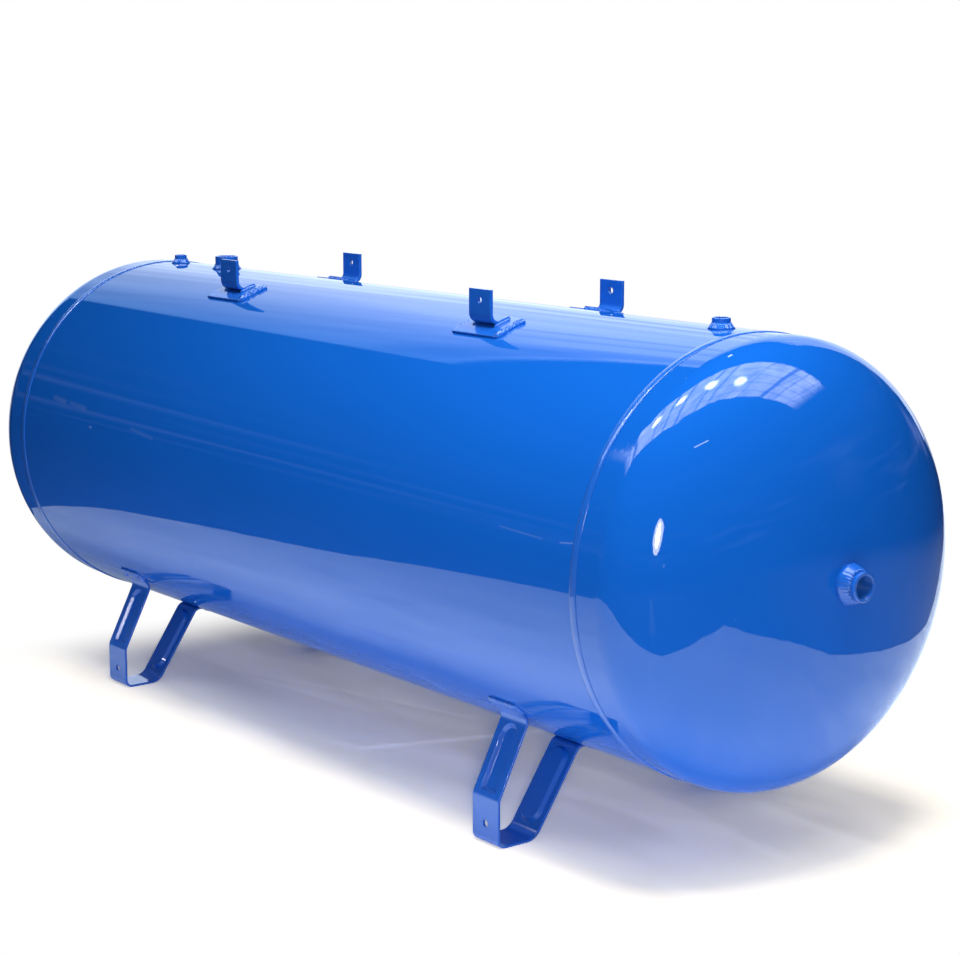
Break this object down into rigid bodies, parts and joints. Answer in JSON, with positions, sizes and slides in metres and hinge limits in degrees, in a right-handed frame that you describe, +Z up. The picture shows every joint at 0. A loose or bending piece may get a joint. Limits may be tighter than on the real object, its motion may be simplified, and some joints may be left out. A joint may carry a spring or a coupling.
{
  "type": "horizontal pressure tank",
  "caption": "Horizontal steel air receiver with dished ends, screwed sockets, drilled top lugs and bent strip leg loops that stand it on the floor.",
  "frame": {"origin": "on the floor, under the middle of the vessel", "axes": "+X along the tank to the near end, -Y the front, +Z up"},
  "size_m": [1.594, 0.5032, 0.617],
  "materials": {
    "painted_plate": "high gloss blue enamel over rolled and pressed plate",
    "painted_strip": "high gloss blue enamel over bent strip",
    "painted_socket": "blue enamel over turned steel, bare in the thread",
    "painted_weld": "blue enamel over rippled weld bead"
  },
  "bodies": {
    "root": {"shell": "painted_plate", "near_head": "painted_plate", "far_head": "painted_plate", "near_girth_weld": "painted_weld", "far_girth_weld": "painted_weld", "shell_seam_weld": "painted_weld", "near_top_socket": "painted_socket", "outlet_socket": "painted_socket", "far_top_socket": "painted_socket", "drain_socket": "painted_socket", "near_head_socket": "painted_socket", "far_head_socket": "painted_socket", "near_top_socket_weld": "painted_weld", "outlet_socket_weld": "painted_weld", "far_top_socket_weld": "painted_weld", "drain_socket_weld": "painted_weld", "near_head_socket_weld": "painted_weld", "far_head_socket_weld": "painted_weld", "near_front_lug": "painted_strip", "near_front_lug_pad": "painted_strip", "near_front_lug_pad_weld": "painted_weld", "near_front_leg": "painted_strip", "near_front_leg_outer_weld": "painted_weld", "near_front_leg_inner_weld": "painted_weld", "near_back_lug": "painted_strip", "near_back_lug_pad": "painted_strip", "near_back_lug_pad_weld": "painted_weld", "near_back_leg": "painted_strip", "near_back_leg_outer_weld": "painted_weld", "near_back_leg_inner_weld": "painted_weld", "far_front_lug": "painted_strip", "far_front_lug_pad": "painted_strip", "far_front_lug_pad_weld": "painted_weld", "far_front_leg": "painted_strip", "far_front_leg_outer_weld": "painted_weld", "far_front_leg_inner_weld": "painted_weld", "far_back_lug": "painted_strip", "far_back_lug_pad": "painted_strip", "far_back_lug_pad_weld": "painted_weld", "far_back_leg": "painted_strip", "far_back_leg_outer_weld": "painted_weld", "far_back_leg_inner_weld": "painted_weld"}
  },
  "joints": []
}
